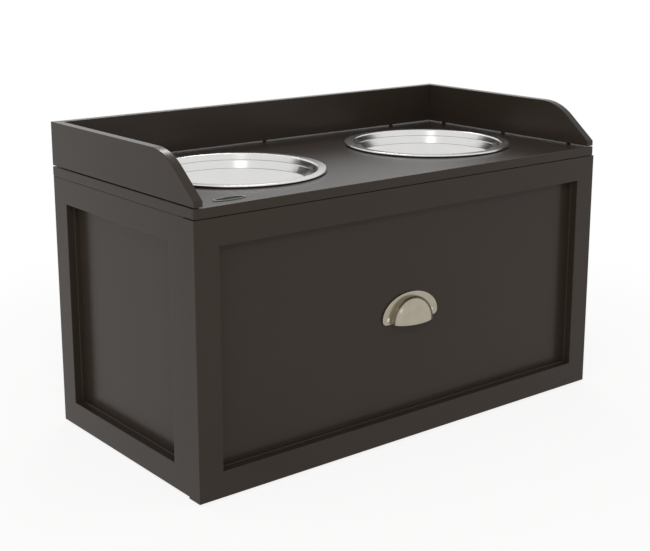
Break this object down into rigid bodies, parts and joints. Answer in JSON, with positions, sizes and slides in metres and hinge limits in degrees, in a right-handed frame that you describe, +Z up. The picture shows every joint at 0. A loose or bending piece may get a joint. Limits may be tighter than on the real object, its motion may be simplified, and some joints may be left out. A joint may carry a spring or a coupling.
{
  "type": "elevated dog feeder with storage",
  "caption": "Low cabinet with framed panels, a full-width drawer with a cup pull, and a top with a gallery that holds lift-out steel bowls.",
  "frame": {"origin": "on the floor, under the middle of the whole feeder, pull included", "axes": "+X to the right of the drawer front, +Y to the rear, +Z up"},
  "size_m": [0.68, 0.3495, 0.4153],
  "materials": {
    "espresso_board": "satin painted, dark espresso",
    "bowl_steel": "polished stainless steel",
    "pull_nickel": "satin nickel",
    "slide_zinc": "zinc plated",
    "screw_steel": "zinc plated",
    "glide_plastic": "matt black",
    "spacer_black": "matt black",
    "dowel_beech": "bare beech"
  },
  "bodies": {
    "cabinet": {"back_panel": "espresso_board", "back_panel_screws": "screw_steel", "bottom_panel": "espresso_board", "carcass_dowels": "dowel_beech", "front_stretcher": "espresso_board", "gallery_back": "espresso_board", "gallery_left_wing": "espresso_board", "gallery_right_wing": "espresso_board", "gallery_screws": "screw_steel", "gallery_spacers": "spacer_black", "glides": "glide_plastic", "left_side_bottom_rail": "espresso_board", "left_side_front_stile": "espresso_board", "left_side_panel": "espresso_board", "left_side_rear_stile": "espresso_board", "left_side_top_rail": "espresso_board", "rear_stretcher": "espresso_board", "right_side_bottom_rail": "espresso_board", "right_side_front_stile": "espresso_board", "right_side_panel": "espresso_board", "right_side_rear_stile": "espresso_board", "right_side_top_rail": "espresso_board", "slide_outer_left": "slide_zinc", "slide_outer_right": "slide_zinc", "slide_screws_cabinet": "screw_steel", "top_panel": "espresso_board", "top_panel_screws": "screw_steel"},
    "drawer": {"cup_pull": "pull_nickel", "drawer_back": "espresso_board", "drawer_bottom": "espresso_board", "drawer_box_screws": "screw_steel", "drawer_front_bottom_rail": "espresso_board", "drawer_front_left_stile": "espresso_board", "drawer_front_panel": "espresso_board", "drawer_front_right_stile": "espresso_board", "drawer_front_screws": "screw_steel", "drawer_front_top_rail": "espresso_board", "drawer_inner_front": "espresso_board", "drawer_side_left": "espresso_board", "drawer_side_right": "espresso_board", "pull_screws": "pull_nickel", "slide_inner_left": "slide_zinc", "slide_inner_right": "slide_zinc", "slide_screws_drawer": "screw_steel"},
    "slide_middle_left": {"slide_middle_left": "slide_zinc"},
    "slide_middle_right": {"slide_middle_right": "slide_zinc"},
    "bowl_left": {"bowl_left": "bowl_steel"},
    "bowl_right": {"bowl_right": "bowl_steel"}
  },
  "joints": [
    {"name": "drawer_slide", "type": "slide", "parent": "cabinet", "child": "drawer", "axis": [0, -1, 0], "range_m": [0, 0.28]},
    {"name": "middle_slide_left", "type": "slide", "parent": "cabinet", "child": "slide_middle_left", "axis": [0, -1, 0], "range_m": [0, 0.14]},
    {"name": "middle_slide_right", "type": "slide", "parent": "cabinet", "child": "slide_middle_right", "axis": [0, -1, 0], "range_m": [0, 0.14]},
    {"name": "bowl_left_lift", "type": "slide", "parent": "cabinet", "child": "bowl_left", "axis": [0, 0, 1], "range_m": [0, 0.12]},
    {"name": "bowl_right_lift", "type": "slide", "parent": "cabinet", "child": "bowl_right", "axis": [0, 0, 1], "range_m": [0, 0.12]}
  ],
  "couplings": [
    {"joint": "middle_slide_left", "follows": "drawer_slide", "ratio": 0.5},
    {"joint": "middle_slide_right", "follows": "drawer_slide", "ratio": 0.5}
  ]
}
